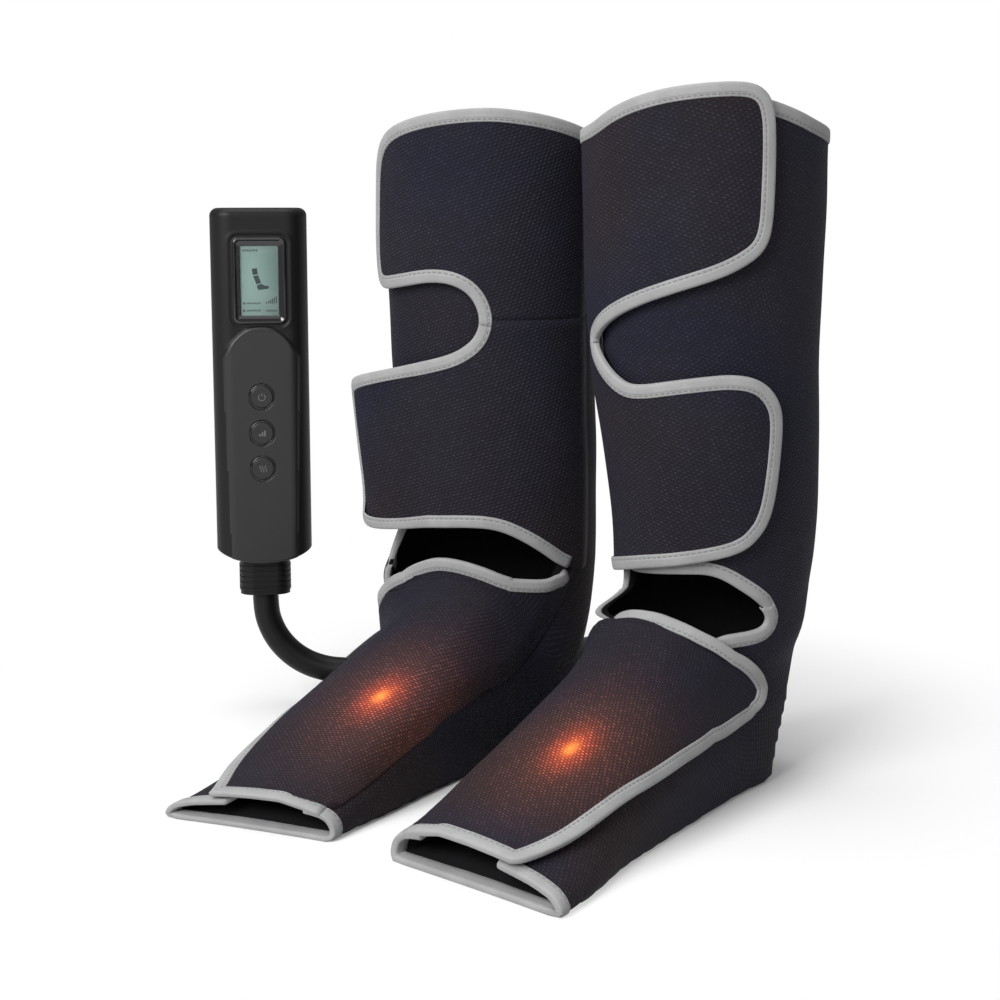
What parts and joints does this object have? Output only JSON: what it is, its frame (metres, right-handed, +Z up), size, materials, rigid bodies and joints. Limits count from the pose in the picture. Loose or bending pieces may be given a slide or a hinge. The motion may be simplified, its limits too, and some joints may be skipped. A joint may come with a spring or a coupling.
{
  "type": "compression therapy pump",
  "caption": "Hand-held air pump with a display and push buttons, hoses, and a pair of open-toe leg wraps with fold-over flaps that close by hook and loop.",
  "frame": {"origin": "on the floor under the middle of the set, hoses and plug left out", "axes": "+Z up; the toes point to -Y; the left boot stands to +X and the pump to -X"},
  "size_m": [0.4706, 0.4775, 0.417],
  "materials": {
    "mesh_fabric": "dark navy spacer mesh with a grey bound edge",
    "lining_fabric": "black brushed lining",
    "bladder_film": "grey coated bladder film",
    "sole_sheet": "thin black sole",
    "hook_tape": "black hook tape",
    "loop_tape": "black loop tape",
    "pad_film": "amber heating film",
    "case_plastic": "satin black case",
    "button_plastic": "satin black button",
    "bezel_plastic": "gloss black display frame",
    "window_glass": "clear display window",
    "display": "grey green display",
    "board": "green circuit board",
    "metal": "plain steel",
    "cell_wrap": "blue wrapped cell",
    "moulding": "dark grey moulding",
    "soft_tube": "pale soft tube",
    "hose_rubber": "black rubber hose"
  },
  "bodies": {
    "boots_and_hoses": {"left_calf_cover": "mesh_fabric", "right_calf_cover": "mesh_fabric", "left_calf_lining": "lining_fabric", "right_calf_lining": "lining_fabric", "left_calf_bladder": "bladder_film", "right_calf_bladder": "bladder_film", "left_sole": "sole_sheet", "right_sole": "sole_sheet", "left_foot_cover": "mesh_fabric", "right_foot_cover": "mesh_fabric", "left_foot_lining": "lining_fabric", "right_foot_lining": "lining_fabric", "left_foot_bladder": "bladder_film", "right_foot_bladder": "bladder_film", "left_loop_panels": "loop_tape", "right_loop_panels": "loop_tape", "left_hose_inlet": "moulding", "right_hose_inlet": "moulding", "hose_plug": "case_plastic", "plug_seal": "hose_rubber", "main_hose": "hose_rubber", "right_branch_hose": "hose_rubber", "left_branch_hose": "hose_rubber", "hose_splitter": "moulding", "right_cuff": "moulding", "left_cuff": "moulding"},
    "pump": {"front_housing": "case_plastic", "rear_housing": "case_plastic", "display_bezel": "bezel_plastic", "display_window": "window_glass", "display_panel": "display", "circuit_board": "board", "tact_switches": "metal", "battery_cells": "cell_wrap", "pump_motor": "metal", "pump_head": "moulding", "valve_block": "moulding", "air_tube": "soft_tube", "outlet_socket": "moulding", "charge_port": "metal", "case_screws": "metal"},
    "left_upper_flap": {"left_upper_calf_flap": "mesh_fabric", "left_upper_flap_hook": "hook_tape"},
    "left_lower_flap": {"left_lower_calf_flap": "mesh_fabric", "left_lower_flap_hook": "hook_tape"},
    "left_foot_flap": {"left_foot_flap": "mesh_fabric", "left_heating_pad": "pad_film", "left_foot_flap_hook": "hook_tape"},
    "right_upper_flap": {"right_upper_calf_flap": "mesh_fabric", "right_upper_flap_hook": "hook_tape"},
    "right_lower_flap": {"right_lower_calf_flap": "mesh_fabric", "right_lower_flap_hook": "hook_tape"},
    "right_foot_flap": {"right_foot_flap": "mesh_fabric", "right_heating_pad": "pad_film", "right_foot_flap_hook": "hook_tape"},
    "power_button": {"power_button": "button_plastic"},
    "mode_button": {"mode_button": "button_plastic"},
    "heat_button": {"heat_button": "button_plastic"}
  },
  "joints": [
    {"name": "pump_unplug", "type": "slide", "parent": "boots_and_hoses", "child": "pump", "axis": [0, 0, 1], "range_m": [0, 0.024]},
    {"name": "power_button_press", "type": "slide", "parent": "pump", "child": "power_button", "axis": [-0.682, 0.7314, 0], "range_m": [0, 0.001], "stiffness_N_per_m": 400},
    {"name": "mode_button_press", "type": "slide", "parent": "pump", "child": "mode_button", "axis": [-0.682, 0.7314, 0], "range_m": [0, 0.001], "stiffness_N_per_m": 400},
    {"name": "heat_button_press", "type": "slide", "parent": "pump", "child": "heat_button", "axis": [-0.682, 0.7314, 0], "range_m": [0, 0.001], "stiffness_N_per_m": 400},
    {"name": "left_upper_flap_open", "type": "hinge", "parent": "boots_and_hoses", "child": "left_upper_flap", "pos_m": [0.10314, 0.02209, 0.358], "axis": [0.0255, 0.035, -0.9991], "range_deg": [0, 100]},
    {"name": "left_lower_flap_open", "type": "hinge", "parent": "boots_and_hoses", "child": "left_lower_flap", "pos_m": [0.10897, 0.03011, 0.18475], "axis": [0.0715, 0.0985, -0.9926], "range_deg": [0, 100]},
    {"name": "left_foot_flap_open", "type": "hinge", "parent": "boots_and_hoses", "child": "left_foot_flap", "pos_m": [0.11701, -0.06647, 0.0673], "axis": [0, -0.9343, -0.3564], "range_deg": [0, 40]},
    {"name": "right_upper_flap_open", "type": "hinge", "parent": "boots_and_hoses", "child": "right_upper_flap", "pos_m": [0.03139, 0.02209, 0.358], "axis": [0.0255, -0.035, 0.9991], "range_deg": [0, 100]},
    {"name": "right_lower_flap_open", "type": "hinge", "parent": "boots_and_hoses", "child": "right_lower_flap", "pos_m": [0.02555, 0.03011, 0.18475], "axis": [0.0715, -0.0985, 0.9926], "range_deg": [0, 100]},
    {"name": "right_foot_flap_open", "type": "hinge", "parent": "boots_and_hoses", "child": "right_foot_flap", "pos_m": [0.01751, -0.06647, 0.0673], "axis": [0, 0.9343, 0.3564], "range_deg": [0, 40]}
  ]
}
